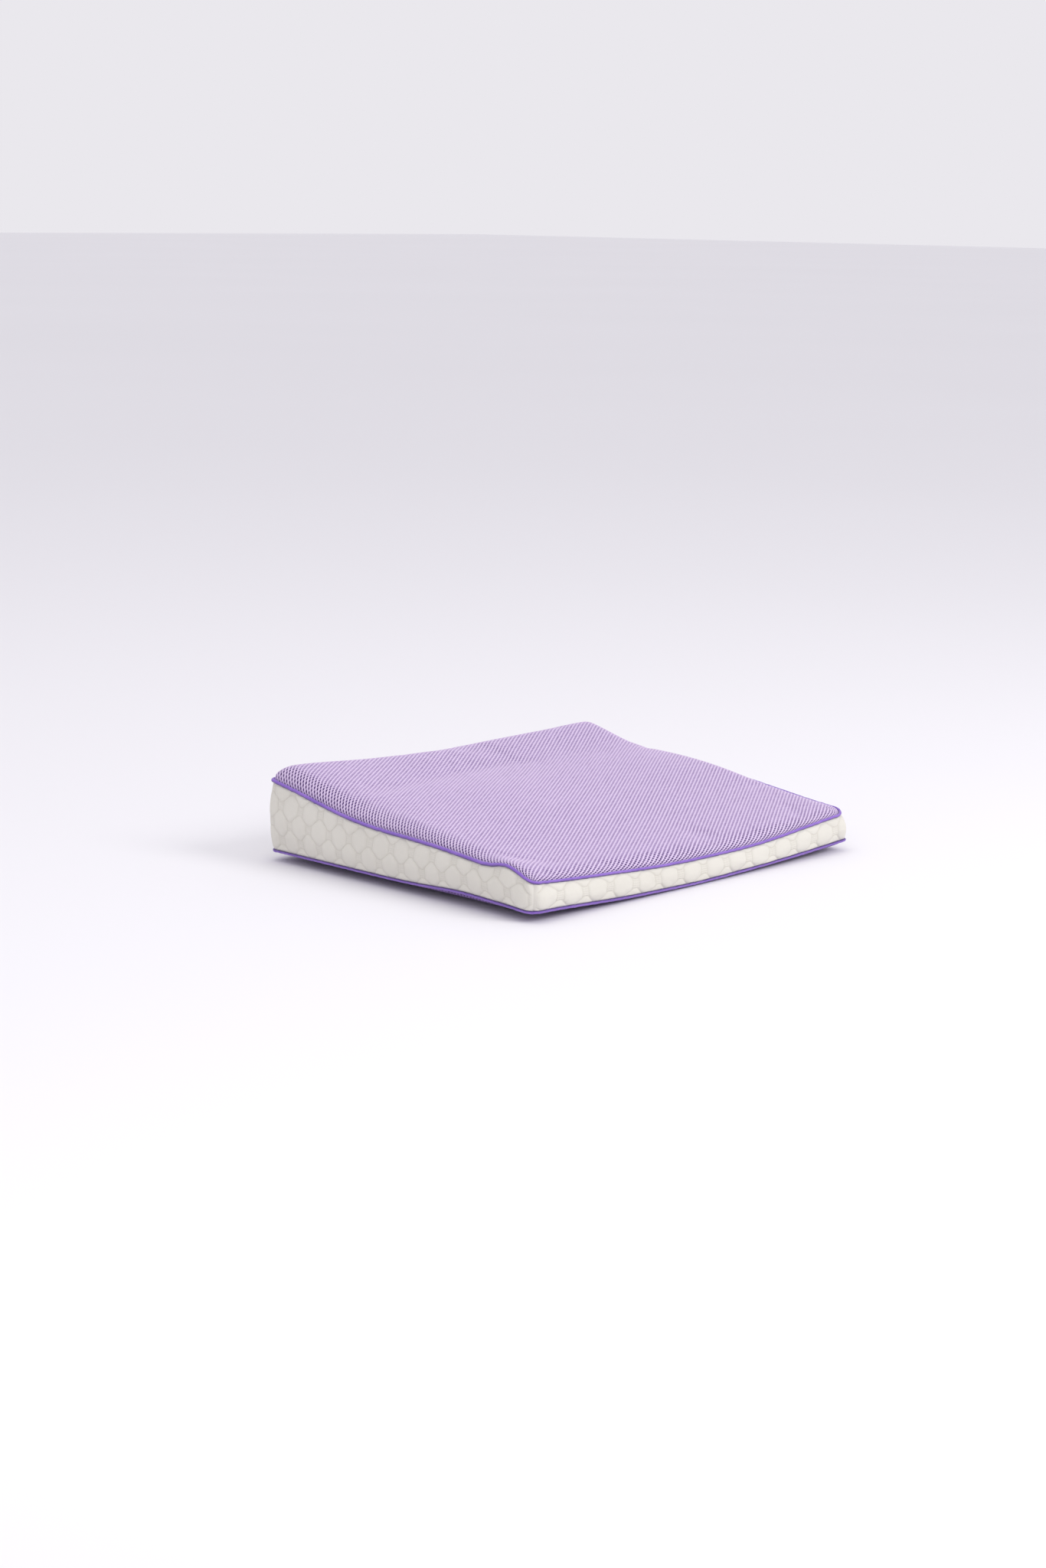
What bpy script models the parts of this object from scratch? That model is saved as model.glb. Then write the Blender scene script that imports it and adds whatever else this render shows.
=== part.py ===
"""Wedge seat cushion with a spacer-mesh cover, piped seams and a zip across the back.

Frame: metres, +Z up, the user faces -Y. The thin edge of the wedge is the front (-Y), and the tall
edge is the back (+Y). The origin is the middle of the underside, which rests on z = 0.
"""

import math

import bmesh
import bpy
from mathutils import Vector

# Driving dimensions. The seam lines are the centre lines of the two piped seams.
SEAM_WIDTH = 0.447
SEAM_DEPTH = 0.350
LOW_SEAM = 0.004
HIGH_SEAM_FRONT = 0.031
HIGH_SEAM_BACK = 0.075
CORNER_RADIUS = 0.014
HUMP = 0.005
HUMP_SHARE = 0.22
SIDE_DIP = 0.0075
FRONT_DIP = 0.004
CROWN = 0.0125
CROWN_RUN = 0.034
BULGE = 0.004
UNDERSIDE_CURVE = 0.013
UNDERSIDE_RISE = 0.0022

# Materials of the cover and its filling, by thickness.
MESH_THICK = 0.0025
BAND_THICK = 0.002
LINER_THICK = 0.0008
PIPING_RADIUS = 0.0018
PIPING_THICK = 0.00045
PIPING_CORD_RADIUS = 0.001
PIPING_SLOT = math.radians(60)
GAP = 0.0003
FOAM_INSET = 0.0038
FOAM_UNDER_MESH = 0.0062
FOAM_BASE = 0.0052
FOAM_EDGE = 0.003

# The zip, a coil zip whose chain is 6 mm wide, in the middle of the back band.
ZIP_HEIGHT = 0.036
ZIP_HALF_LENGTH = 0.172
ZIP_OPENING_HALF = 0.0046
ZIP_WEB_HALF = 0.00035
COIL_INNER = 0.00075
COIL_WIDTH = 0.00235
COIL_THICK = 0.0022
TAPE_HALF = 0.0125
TAPE_THICK = 0.0006
TAPE_DEPTH = 0.0014
TAPE_PAST_CHAIN = 0.007
BAND_END_INNER = 0.184
STOP_LENGTH = 0.003
SLIDER_LENGTH = 0.010
SLIDER_HALF = 0.0042
SLIDER_PLATE = 0.0009
SLIDER_FLANGE = 0.0007
SLIDER_AT = -0.163
BRIDGE_LENGTH = 0.006
BRIDGE_OPENING = 0.002
BRIDGE_BAR = 0.0008
BRIDGE_HALF_WIDTH = 0.0008
PULL_LENGTH = 0.024
PULL_HALF_WIDTH = 0.0033
PULL_THICK = 0.0012
PULL_BAR_HALF = 0.00045
PULL_EYE = 0.0042
PULL_EYE_HALF = 0.0012

ARC_STEPS = 3
SIDE_STEPS = 9
LEAST_RADIUS = 0.006
BAND_ROWS = 4
CROWN_ROWS = 4
PIPING_STEPS = 8
FRONT, RIGHT, BACK, LEFT = range(4)

BACK_SEAM_Y = SEAM_DEPTH / 2
BACK_MIDDLE = Vector((0.0, BACK_SEAM_Y))
TAPE_OUTER_Y = BACK_SEAM_Y + BULGE - BAND_THICK - TAPE_DEPTH
COIL_BASE_Y = TAPE_OUTER_Y + GAP
COIL_TOP_Y = COIL_BASE_Y + COIL_THICK
PLATE_BASE_Y = COIL_TOP_Y + 0.0004
PLATE_TOP_Y = PLATE_BASE_Y + SLIDER_PLATE
INNER_PLATE_TOP_Y = TAPE_OUTER_Y - TAPE_THICK - 0.0004
PULL_AXIS_Y = PLATE_TOP_Y + BRIDGE_OPENING / 2


def clear_scene():
    for obj in list(bpy.data.objects):
        bpy.data.objects.remove(obj, do_unlink=True)


def material(name, red, green, blue, roughness, metallic=0.0):
    """A plain material. The colour is given as display values from 0 to 1."""
    made = bpy.data.materials.new(name)
    made.use_nodes = True
    shader = made.node_tree.nodes["Principled BSDF"]
    linear = [value**2.2 for value in (red, green, blue)]
    shader.inputs["Base Color"].default_value = (*linear, 1.0)
    shader.inputs["Roughness"].default_value = roughness
    shader.inputs["Metallic"].default_value = metallic
    return made


def object_from(name, bm, made_of, place=(0.0, 0.0, 0.0)):
    mesh = bpy.data.meshes.new(name)
    bm.to_mesh(mesh)
    bm.free()
    mesh.materials.append(made_of)
    obj = bpy.data.objects.new(name, mesh)
    obj.location = place
    bpy.context.scene.collection.objects.link(obj)
    return obj


def thicken(obj, thickness):
    """Gives an open outer surface its thickness, inwards."""
    solid = obj.modifiers.new("Thickness", "SOLIDIFY")
    solid.thickness = thickness
    solid.offset = -1
    solid.use_even_offset = True
    return obj


def smooth(obj, angle=40):
    obj.data.shade_smooth()
    obj.data.set_sharp_from_angle(angle=math.radians(angle))
    return obj


def slope_height(y):
    """Height of the sloping plane through the upper seam's four corners."""
    share = y / SEAM_DEPTH + 0.5
    return HIGH_SEAM_FRONT + (HIGH_SEAM_BACK - HIGH_SEAM_FRONT) * share


def seam_height(x, y):
    """Height of the upper seam. It rises a little behind each front corner, sags along the rest of
    each side, dips across the front, and runs straight across the back."""
    from_side = SEAM_WIDTH / 2 - abs(x)
    from_front = SEAM_DEPTH / 2 + y
    from_back = SEAM_DEPTH / 2 - y
    if from_side < min(from_front, from_back):
        along = from_front / SEAM_DEPTH
        if along < HUMP_SHARE:
            return slope_height(y) + HUMP * math.sin(math.pi * along / HUMP_SHARE)
        return slope_height(y) - SIDE_DIP * math.sin(math.pi * (along - HUMP_SHARE) / (1 - HUMP_SHARE))
    if from_front < min(from_side, from_back):
        return slope_height(y) - FRONT_DIP * math.sin(math.pi * from_side / SEAM_WIDTH)
    return slope_height(y)


def side_run(side, inset, trim=0.0):
    """Plan points of one side, from the middle of one rounded corner to the middle of the next.

    inset is the distance inside the seam line, and trim is left off each end, along the arc.
    """
    half_x = SEAM_WIDTH / 2 - inset
    half_y = SEAM_DEPTH / 2 - inset
    half_along, half_out = (half_x, half_y) if side in (FRONT, BACK) else (half_y, half_x)
    radius = max(CORNER_RADIUS - inset, LEAST_RADIUS)
    turn = math.radians(90 * side)
    along = Vector((math.cos(turn), math.sin(turn)))
    out = Vector((math.sin(turn), -math.cos(turn)))
    half_arc = math.radians(45) - trim / radius
    points = []
    for end in (-1, 1):
        centre = along * end * (half_along - radius) + out * (half_out - radius)
        for step in range(ARC_STEPS + 1):
            share = step / ARC_STEPS
            angle = half_arc * (share if end == 1 else share - 1)
            points.append(centre + (along * math.sin(angle) + out * math.cos(angle)) * radius)
    start, stop = points[ARC_STEPS], points[ARC_STEPS + 1]
    straight = [start.lerp(stop, step / SIDE_STEPS) for step in range(1, SIDE_STEPS)]
    return points[: ARC_STEPS + 1] + straight + points[ARC_STEPS + 1 :]


def ring(inset):
    """Plan points of a whole rounded rectangle, counter-clockwise seen from above."""
    points = []
    for side in (FRONT, RIGHT, BACK, LEFT):
        points += side_run(side, inset)[:-1]
    return points


def loft(bm, rows, closed):
    """Joins rows of points with quads, from the first row to the last. Returns the rows' vertices."""
    made = [[bm.verts.new(point) for point in row] for row in rows]
    count = len(rows[0])
    for low, high in zip(made, made[1:]):
        for i in range(count if closed else count - 1):
            j = (i + 1) % count
            bm.faces.new((low[i], low[j], high[j], high[i]))
    return made


def crown(share):
    """Rise of the mesh above the seam plane, from 0 at the seam to 1 where the top is flat."""
    return math.sqrt(1 - (1 - share) ** 2)


def sloping_row(inset, above, share=0.0):
    """A row of the top, from the seam's own line at share 0 to the sloping plane at share 1."""
    row = []
    for edge, p in zip(ring(0.0), ring(inset)):
        off_plane = seam_height(edge.x, edge.y) - slope_height(edge.y)
        height = slope_height(p.y) + off_plane * (1 - share) + above
        row.append(Vector((p.x, p.y, height)))
    return row


def level_row(inset, height):
    return [Vector((p.x, p.y, height)) for p in ring(inset)]


def crown_rows(first_inset, below):
    """Rows that climb from the edge of the top to its flat middle."""
    rows = []
    for step in range(1, CROWN_ROWS + 1):
        share = (step / CROWN_ROWS) ** 2
        inset = first_inset + (CROWN_RUN - first_inset) * share
        rows.append(sloping_row(inset, CROWN * crown(share) - below, share))
    return rows


def build_top_panel(mesh_fabric):
    bm = bmesh.new()
    edge = PIPING_RADIUS + 2 * GAP
    rows = [sloping_row(edge, 0.0012)] + crown_rows(edge, 0.0)
    made = loft(bm, rows, closed=True)
    bm.faces.new(made[-1])
    return thicken(smooth(object_from("top_mesh_panel", bm, mesh_fabric)), MESH_THICK)


def build_bottom_panel(mesh_fabric):
    """The underside curves up to its seam at the edges, and its middle lies flat on z = 0."""
    bm = bmesh.new()
    edge = PIPING_RADIUS + 2 * GAP
    rows = [level_row(UNDERSIDE_CURVE, 0.0)]
    for share in (0.45, 0.75, 1.0):
        inset = UNDERSIDE_CURVE + (edge - UNDERSIDE_CURVE) * share
        rows.append(level_row(inset, UNDERSIDE_RISE * share**2))
    made = loft(bm, rows, closed=True)
    bm.faces.new(list(reversed(made[0])))
    return thicken(smooth(object_from("bottom_mesh_panel", bm, mesh_fabric)), MESH_THICK)


def band_height(edge, share):
    """Height at a share of the band, which ends just short of the piping at both seams."""
    margin = PIPING_RADIUS + GAP
    low = LOW_SEAM + margin
    return low + (seam_height(edge.x, edge.y) - margin - low) * share


def bulge(share):
    """How far a band stands out of the seam line, at a share of its height."""
    return BULGE * 4 * share * (1 - share)


def row_shares(low, high):
    return [low + (high - low) * row / BAND_ROWS for row in range(BAND_ROWS + 1)]


def band_rows(side, depth):
    """Rows of a side band from seam to seam, at a depth below its outer surface."""
    rows = []
    for share in row_shares(0.0, 1.0):
        plan = side_run(side, depth - bulge(share), GAP / 2)
        edges = side_run(side, 0.0, GAP / 2)
        rows.append([Vector((p.x, p.y, band_height(edge, share))) for p, edge in zip(plan, edges)])
    return rows


def slab(name, outer_rows, inner_rows, made_of):
    """A closed solid between two grids of points that match."""
    bm = bmesh.new()
    borders = []
    for rows in (outer_rows, inner_rows):
        grid = loft(bm, rows, closed=False)
        end = [row[-1] for row in grid[1:]]
        start = [row[0] for row in grid[1:-1]]
        borders.append(grid[0] + end + grid[-1][-2::-1] + start[::-1])
    outer, inner = borders
    for i in range(len(outer)):
        bm.faces.new((outer[i - 1], outer[i], inner[i], inner[i - 1]))
    bmesh.ops.recalc_face_normals(bm, faces=bm.faces)
    return smooth(object_from(name, bm, made_of))


def build_side_band(name, side, quilted):
    slab(name, band_rows(side, 0.0), band_rows(side, BAND_THICK), quilted)


def back_share(height):
    """Share of the back band's height, at the back seam line."""
    low = band_height(BACK_MIDDLE, 0.0)
    return (height - low) / (band_height(BACK_MIDDLE, 1.0) - low)


def strip_rows(x_from, x_to, shares, depth):
    """Rows of a straight length of the back band, at a depth below its outer surface."""
    rows = []
    for share in shares:
        y = BACK_SEAM_Y + bulge(share) - depth
        height = band_height(BACK_MIDDLE, share)
        rows.append([Vector((x_from, y, height)), Vector((x_to, y, height))])
    return rows


def end_rows(sign, depth):
    """Rows of the back band from a corner's middle to the zip's end, on the +X or the -X side."""
    rows = []
    straight = strip_rows(BAND_END_INNER, -BAND_END_INNER, row_shares(0.0, 1.0), depth)
    for around, across in zip(band_rows(BACK, depth), straight):
        if sign == 1:
            rows.append(around[: ARC_STEPS + 1] + across[:1])
        else:
            rows.append(across[1:] + around[-ARC_STEPS - 1 :])
    return rows


def build_back_band(quilted):
    """Two long strips above and below the zip, and a full-height end piece at each corner."""
    strip_end = BAND_END_INNER - GAP
    below = row_shares(0.0, back_share(ZIP_HEIGHT - ZIP_OPENING_HALF))
    above = row_shares(back_share(ZIP_HEIGHT + ZIP_OPENING_HALF), 1.0)
    for name, shares in (("back_band_lower", below), ("back_band_upper", above)):
        faces = [strip_rows(strip_end, -strip_end, shares, depth) for depth in (0.0, BAND_THICK)]
        slab(name, *faces, quilted)
    for name, sign in (("back_band_right_end", 1), ("back_band_left_end", -1)):
        slab(name, end_rows(sign, 0.0), end_rows(sign, BAND_THICK), quilted)


def seam_rows(height_at, radius, angles):
    """Rows around a seam line at a radius, one for each angle. Angle 0 faces out of the cushion."""
    heights = [height_at(p.x, p.y) for p in ring(0.0)]
    rows = []
    for angle in angles:
        plan = ring(-radius * math.cos(angle))
        rise = radius * math.sin(angle)
        rows.append([Vector((p.x, p.y, z + rise)) for p, z in zip(plan, heights)])
    return rows


def build_piping(name, height_at, piping_fabric, cord_fibre):
    """A fabric sleeve, open towards the seam, folded over a filler cord."""
    bm = bmesh.new()
    reach = math.pi - PIPING_SLOT / 2
    angles = [reach * (2 * step / PIPING_STEPS - 1) for step in range(PIPING_STEPS + 1)]
    loft(bm, seam_rows(height_at, PIPING_RADIUS, angles), closed=True)
    thicken(smooth(object_from(name, bm, piping_fabric), 60), PIPING_THICK)

    line = bpy.data.curves.new(name + "_cord", "CURVE")
    line.dimensions = "3D"
    line.bevel_depth = PIPING_CORD_RADIUS
    line.bevel_resolution = 1
    spline = line.splines.new("POLY")
    plan = ring(0.0)
    spline.points.add(len(plan) - 1)
    for point, p in zip(spline.points, plan):
        point.co = (p.x, p.y, height_at(p.x, p.y), 1.0)
    spline.use_cyclic_u = True
    line.materials.append(cord_fibre)
    bpy.context.scene.collection.objects.link(bpy.data.objects.new(name + "_cord", line))


def foam_rows(grow):
    """Rows of the foam wedge from its underside to its flat top, grown outwards by a distance."""
    base = FOAM_BASE - grow
    inset = FOAM_INSET - grow
    rows = [
        level_row(inset + FOAM_EDGE, base),
        level_row(inset, base + FOAM_EDGE),
        level_row(inset, ZIP_HEIGHT - HIGH_SEAM_FRONT / 2),
    ]
    rows.append(sloping_row(inset, grow - FOAM_UNDER_MESH))
    return rows + crown_rows(inset, FOAM_UNDER_MESH - grow)


def build_foam(foam):
    bm = bmesh.new()
    made = loft(bm, foam_rows(0.0), closed=True)
    bm.faces.new(list(reversed(made[0])))
    bm.faces.new(made[-1])
    return smooth(object_from("foam_core", bm, foam))


def build_liner(knit):
    """A thin knitted bag around the foam, with an envelope opening low along the back."""
    bm = bmesh.new()
    made = loft(bm, foam_rows(GAP + LINER_THICK), closed=True)
    bm.faces.new(list(reversed(made[0])))
    bm.faces.new(made[-1])
    wall_from, wall_to = made[1], made[2]
    first = BACK * (2 * ARC_STEPS + SIDE_STEPS) + ARC_STEPS
    slot = set(wall_from[first : first + SIDE_STEPS + 1] + wall_to[first : first + SIDE_STEPS + 1])
    for face in list(bm.faces):
        if slot.issuperset(face.verts):
            bm.faces.remove(face)
    return thicken(smooth(object_from("inner_liner", bm, knit)), LINER_THICK)


def box(name, low, high, made_of, rounding=0.0):
    """A block between two corners, with its origin at its middle."""
    low, high = Vector(low), Vector(high)
    bm = bmesh.new()
    bmesh.ops.create_cube(bm, size=1.0)
    bmesh.ops.scale(bm, vec=high - low, verts=bm.verts)
    obj = object_from(name, bm, made_of, (low + high) / 2)
    if rounding:
        add_bevel(obj, rounding)
    return obj


def add_bevel(obj, width):
    bevel = obj.modifiers.new("Rounding", "BEVEL")
    bevel.width = width
    bevel.segments = 1
    bevel.limit_method = "ANGLE"


def extrusion(name, outline, x_from, x_to, made_of, rounding=0.0):
    """An outline of (y, z) points pushed along X. Its origin is at the middle of its length."""
    middle = Vector(((x_from + x_to) / 2, outline[0][0], ZIP_HEIGHT))
    bm = bmesh.new()
    face = bm.faces.new([bm.verts.new(Vector((x_from, y, z)) - middle) for y, z in outline])
    pushed = bmesh.ops.extrude_face_region(bm, geom=[face])["geom"]
    moved = [part for part in pushed if isinstance(part, bmesh.types.BMVert)]
    bmesh.ops.translate(bm, vec=(x_to - x_from, 0.0, 0.0), verts=moved)
    bmesh.ops.recalc_face_normals(bm, faces=bm.faces)
    obj = object_from(name, bm, made_of, middle)
    if rounding:
        add_bevel(obj, rounding)
    return obj


def clasp_outline(half_width, flange):
    """Section of a piece that holds both tapes: an outer and an inner plate joined by a web."""
    right = [
        (PLATE_TOP_Y, ZIP_HEIGHT + half_width),
        (PLATE_BASE_Y - flange, ZIP_HEIGHT + half_width),
        (PLATE_BASE_Y - flange, ZIP_HEIGHT + half_width - SLIDER_FLANGE),
        (PLATE_BASE_Y, ZIP_HEIGHT + half_width - SLIDER_FLANGE),
        (PLATE_BASE_Y, ZIP_HEIGHT + ZIP_WEB_HALF),
        (INNER_PLATE_TOP_Y, ZIP_HEIGHT + ZIP_WEB_HALF),
        (INNER_PLATE_TOP_Y, ZIP_HEIGHT + half_width),
        (INNER_PLATE_TOP_Y - SLIDER_PLATE, ZIP_HEIGHT + half_width),
    ]
    left = [(y, 2 * ZIP_HEIGHT - z) for y, z in reversed(right)]
    return right + left


def build_tapes_and_coils(tape_cloth, nylon):
    tape_end = ZIP_HALF_LENGTH + TAPE_PAST_CHAIN
    for name, sign in (("upper", 1), ("lower", -1)):
        edges = sorted((sign * COIL_INNER, sign * TAPE_HALF))
        box(
            "zip_tape_" + name,
            (-tape_end, TAPE_OUTER_Y - TAPE_THICK, ZIP_HEIGHT + edges[0]),
            (tape_end, TAPE_OUTER_Y, ZIP_HEIGHT + edges[1]),
            tape_cloth,
        )
        edges = sorted((sign * COIL_INNER, sign * (COIL_INNER + COIL_WIDTH)))
        box(
            "zip_coil_" + name,
            (-ZIP_HALF_LENGTH, COIL_BASE_Y, ZIP_HEIGHT + edges[0]),
            (ZIP_HALF_LENGTH, COIL_TOP_Y, ZIP_HEIGHT + edges[1]),
            nylon,
            rounding=0.0005,
        )


def build_stops(metal):
    """Two small clamps on the tape edges at the closed end, and one across both at the open end."""
    outer_y = COIL_TOP_Y
    inner_y = TAPE_OUTER_Y - TAPE_THICK - GAP
    wall = COIL_INNER - GAP
    closed_end = -ZIP_HALF_LENGTH - GAP
    for name, sign in (("upper", 1), ("lower", -1)):
        points = [
            (outer_y, wall - 0.00035),
            (outer_y, COIL_INNER + COIL_WIDTH),
            (COIL_BASE_Y, COIL_INNER + COIL_WIDTH),
            (COIL_BASE_Y, wall),
            (inner_y, wall),
            (inner_y, COIL_INNER + COIL_WIDTH),
            (inner_y - 0.0005, COIL_INNER + COIL_WIDTH),
            (inner_y - 0.0005, wall - 0.00035),
        ]
        outline = [(y, ZIP_HEIGHT + sign * z) for y, z in points]
        extrusion("zip_top_stop_" + name, outline, closed_end - STOP_LENGTH, closed_end, metal)
    open_end = ZIP_HALF_LENGTH + GAP
    width = COIL_INNER + COIL_WIDTH
    outline = [
        (outer_y, ZIP_HEIGHT + width),
        (COIL_BASE_Y, ZIP_HEIGHT + width),
        (COIL_BASE_Y, ZIP_HEIGHT + ZIP_WEB_HALF),
        (inner_y, ZIP_HEIGHT + ZIP_WEB_HALF),
        (inner_y, ZIP_HEIGHT + width),
        (inner_y - 0.0005, ZIP_HEIGHT + width),
    ]
    outline += [(y, 2 * ZIP_HEIGHT - z) for y, z in reversed(outline)]
    extrusion("zip_bottom_stop", outline, open_end, open_end + STOP_LENGTH, metal)


def union(obj, other):
    """Joins a helper to an object as one body, and leaves the helper out of the model."""
    other.hide_render = True
    other.display_type = "WIRE"
    join = obj.modifiers.new("Union " + other.name, "BOOLEAN")
    join.operation = "UNION"
    join.object = other


def build_slider(metal):
    """The slider's two plates around the chain, with the bridge that holds the pull."""
    half = SLIDER_LENGTH / 2
    outline = clasp_outline(SLIDER_HALF, COIL_THICK)
    slider = extrusion("zip_slider", outline, SLIDER_AT - half, SLIDER_AT + half, metal)
    rise = BRIDGE_OPENING + BRIDGE_BAR
    reach = BRIDGE_LENGTH / 2
    inner = reach - BRIDGE_BAR
    sunk = SLIDER_PLATE / 2
    arch = [
        (-reach, -sunk),
        (-reach, rise - BRIDGE_BAR / 2),
        (-reach + BRIDGE_BAR / 2, rise),
        (reach - BRIDGE_BAR / 2, rise),
        (reach, rise - BRIDGE_BAR / 2),
        (reach, -sunk),
        (inner, -sunk),
        (inner, BRIDGE_OPENING),
        (-inner, BRIDGE_OPENING),
        (-inner, -sunk),
    ]
    bm = bmesh.new()
    face = bm.faces.new([bm.verts.new((x, y, -BRIDGE_HALF_WIDTH)) for x, y in arch])
    pushed = bmesh.ops.extrude_face_region(bm, geom=[face])["geom"]
    moved = [part for part in pushed if isinstance(part, bmesh.types.BMVert)]
    bmesh.ops.translate(bm, vec=(0.0, 0.0, 2 * BRIDGE_HALF_WIDTH), verts=moved)
    bmesh.ops.recalc_face_normals(bm, faces=bm.faces)
    bridge = object_from("bridge", bm, metal, (SLIDER_AT, PLATE_TOP_Y, ZIP_HEIGHT))
    union(slider, bridge)
    return slider


def build_pull(metal, slider):
    """The pull tab, whose cross-bar turns under the bridge. Its origin is on that axis."""
    start = -PULL_BAR_HALF
    end = PULL_LENGTH
    corner = 0.0016
    half = PULL_HALF_WIDTH
    neck = 0.0024
    outline = [
        (start, -neck),
        (PULL_EYE, -neck),
        (PULL_EYE + corner, -half),
        (end - corner, -half),
        (end, -half + corner),
        (end, half - corner),
        (end - corner, half),
        (PULL_EYE + corner, half),
        (PULL_EYE, neck),
        (start, neck),
    ]
    bm = bmesh.new()
    face = bm.faces.new([bm.verts.new((x, -PULL_THICK / 2, z)) for x, z in outline])
    pushed = bmesh.ops.extrude_face_region(bm, geom=[face])["geom"]
    moved = [part for part in pushed if isinstance(part, bmesh.types.BMVert)]
    bmesh.ops.translate(bm, vec=(0.0, PULL_THICK, 0.0), verts=moved)
    bmesh.ops.recalc_face_normals(bm, faces=bm.faces)
    axis_at = Vector((SLIDER_AT, PULL_AXIS_Y, ZIP_HEIGHT))
    pull = object_from("zip_pull", bm, metal, axis_at)

    eye = box(
        "eye_cutter",
        axis_at + Vector((PULL_BAR_HALF, -PULL_THICK, -PULL_EYE_HALF)),
        axis_at + Vector((PULL_EYE, PULL_THICK, PULL_EYE_HALF)),
        metal,
    )
    thinning = [
        box(
            "bar_cutter_" + name,
            axis_at + Vector((-PULL_THICK, low, -2 * neck)),
            axis_at + Vector((PULL_BAR_HALF, high, 2 * neck)),
            metal,
        )
        for name, low, high in (
            ("outer", PULL_BAR_HALF, PULL_THICK),
            ("inner", -PULL_THICK, -PULL_BAR_HALF),
        )
    ]
    for cutter in [eye, *thinning]:
        cutter.hide_render = True
        cutter.display_type = "WIRE"
        cut = pull.modifiers.new("Cut " + cutter.name, "BOOLEAN")
        cut.operation = "DIFFERENCE"
        cut.object = cutter
    bpy.context.view_layer.update()
    pull.parent = slider
    pull.matrix_parent_inverse = slider.matrix_world.inverted()


def main():
    clear_scene()
    lilac_mesh = material("lilac_spacer_mesh", 0.81, 0.74, 0.88, 0.85)
    underside_mesh = material("purple_spacer_mesh", 0.55, 0.46, 0.68, 0.85)
    quilted = material("cream_quilted_knit", 0.90, 0.88, 0.85, 0.9)
    piping_fabric = material("purple_piping", 0.50, 0.38, 0.68, 0.7)
    cord_fibre = material("white_cord", 0.85, 0.85, 0.84, 0.9)
    foam = material("memory_foam", 0.93, 0.91, 0.82, 0.95)
    knit = material("white_liner_knit", 0.92, 0.92, 0.91, 0.9)
    tape_cloth = material("cream_zip_tape", 0.88, 0.86, 0.83, 0.85)
    nylon = material("cream_zip_coil", 0.90, 0.88, 0.85, 0.45)
    nickel = material("nickel", 0.75, 0.75, 0.76, 0.3, metallic=1.0)

    build_foam(foam)
    build_liner(knit)
    build_top_panel(lilac_mesh)
    build_bottom_panel(underside_mesh)
    build_side_band("front_band", FRONT, quilted)
    build_side_band("right_band", RIGHT, quilted)
    build_side_band("left_band", LEFT, quilted)
    build_back_band(quilted)
    build_piping("top_piping", seam_height, piping_fabric, cord_fibre)
    build_piping("bottom_piping", lambda x, y: LOW_SEAM, piping_fabric, cord_fibre)
    build_tapes_and_coils(tape_cloth, nylon)
    build_stops(nickel)
    slider = build_slider(nickel)
    build_pull(nickel, slider)


main()
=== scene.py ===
"""Looks of the wedge seat cushion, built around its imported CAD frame.

The cover's shape is one set of formulas in metres: a top, an underside and the bands between two
piped seams. Every piece of the cover is a grid or a lattice laid on that shape, so that neighbours
meet along the seams.
"""

import math
from functools import partial

import bpy
import numpy as np
from mathutils import Matrix, Vector


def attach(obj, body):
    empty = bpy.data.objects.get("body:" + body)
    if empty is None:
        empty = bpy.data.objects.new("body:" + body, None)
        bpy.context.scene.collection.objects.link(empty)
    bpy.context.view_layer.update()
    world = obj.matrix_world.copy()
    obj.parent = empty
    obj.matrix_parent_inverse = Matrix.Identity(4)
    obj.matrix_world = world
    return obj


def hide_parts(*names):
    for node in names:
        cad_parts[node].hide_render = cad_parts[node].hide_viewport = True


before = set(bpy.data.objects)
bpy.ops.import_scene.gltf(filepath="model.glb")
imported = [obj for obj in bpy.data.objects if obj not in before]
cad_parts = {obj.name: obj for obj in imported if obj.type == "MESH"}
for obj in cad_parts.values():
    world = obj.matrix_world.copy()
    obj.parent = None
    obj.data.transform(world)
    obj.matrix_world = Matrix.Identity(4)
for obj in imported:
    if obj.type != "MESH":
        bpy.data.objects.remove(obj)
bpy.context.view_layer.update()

# The seam lines, as in the CAD. Lengths are in metres everywhere.
WIDTH = 0.4475
DEPTH = 0.350
LOW_SEAM = 0.004
HIGH_FRONT = 0.0308
HIGH_BACK = 0.0747
# Radius of each seam's corners in plan: front left, front right, back right, back left.
LOW_CORNERS = (0.010, 0.003, 0.010, 0.006)
HIGH_CORNERS = (0.006, 0.016, 0.008, 0.004)
HALF_W = WIDTH / 2
HALF_D = DEPTH / 2
# The four sides counter-clockwise from above, and half the length of each.
FRONT, RIGHT, BACK, LEFT = range(4)
SIDES = ((FRONT, HALF_W), (RIGHT, HALF_D), (BACK, HALF_W), (LEFT, HALF_D))

# The top and the underside start this far inside the seam line and this far above or below it,
# and roll over a run.
PANEL_EDGE = 0.0011
PANEL_OFF_SEAM = 0.0004
TOP_RUN = 0.018
TOP_RISE = 0.0118
UNDER_RUN = 0.018
ROLL_POWER = 2.3
# The panels' cloth goes on past the seam by an allowance. The bands swell by the bulge.
ALLOWANCE = 0.0035
BULGE = 0.004

# The piping: radius of the sleeve, how far out it lies, its unevenness, and the cord in it.
PIPING = 0.00145
PIPING_OUT = 0.0008
PIPING_WAVE = 0.00012
PIPING_WAVE_COUNT = 14
PIPING_SIDES = 20
CORD = 0.0010
SEAM_STEP = 0.0012
# How wide, in radians, the painted shade line is where the sleeve folds in towards the band.
FOLD_SHADE_WIDTH = 0.50

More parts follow.
